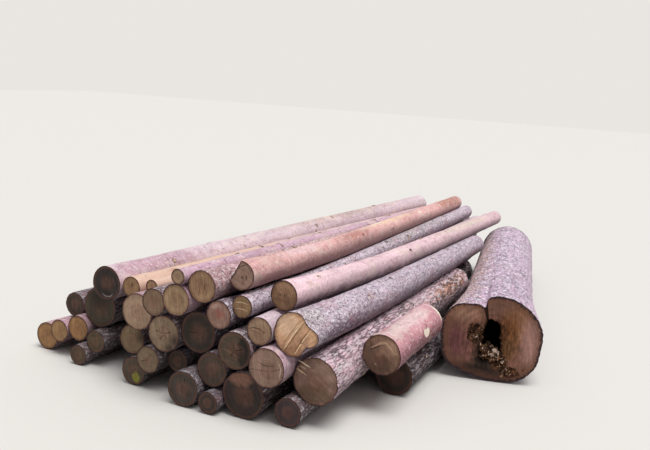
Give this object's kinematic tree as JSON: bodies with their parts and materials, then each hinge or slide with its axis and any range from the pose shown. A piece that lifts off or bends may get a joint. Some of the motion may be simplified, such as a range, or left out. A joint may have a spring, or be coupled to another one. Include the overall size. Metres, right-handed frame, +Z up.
{
  "type": "stack of logs",
  "caption": "Stack of round softwood logs with the bark on, piled in saddles on level ground, with a hollow rotted butt log beside it.",
  "frame": {"origin": "middle of the stack's underside, on the ground", "axes": "+Y along the logs from the sawn front ends to the far ends, +X across the stack to the right as seen from the front ends, +Z up"},
  "size_m": [2.5606, 4.6, 0.7246],
  "materials": {
    "logs": "rough bark, sawn ends",
    "hollow_log": "rough bark, rotted sawn end"
  },
  "bodies": {
    "root": {"fifth_log_1": "logs", "fifth_log_2": "logs", "fifth_log_3": "logs", "fourth_log_1": "logs", "fourth_log_2": "logs", "fourth_log_3": "logs", "fourth_log_4": "logs", "fourth_log_5": "logs", "ground_log_1": "logs", "ground_log_10": "logs", "ground_log_11": "logs", "ground_log_12": "logs", "ground_log_2": "logs", "ground_log_3": "logs", "ground_log_4": "logs", "ground_log_5": "logs", "ground_log_6": "logs", "ground_log_7": "logs", "ground_log_8": "logs", "ground_log_9": "logs", "hollow_butt_log": "hollow_log", "second_log_1": "logs", "second_log_10": "logs", "second_log_2": "logs", "second_log_3": "logs", "second_log_4": "logs", "second_log_5": "logs", "second_log_6": "logs", "second_log_7": "logs", "second_log_8": "logs", "second_log_9": "logs", "third_log_1": "logs", "third_log_2": "logs", "third_log_3": "logs", "third_log_4": "logs", "third_log_5": "logs", "third_log_6": "logs", "third_log_7": "logs", "top_log_1": "logs", "top_log_2": "logs", "top_log_3": "logs", "top_log_4": "logs", "top_log_5": "logs", "top_log_6": "logs"}
  },
  "joints": []
}
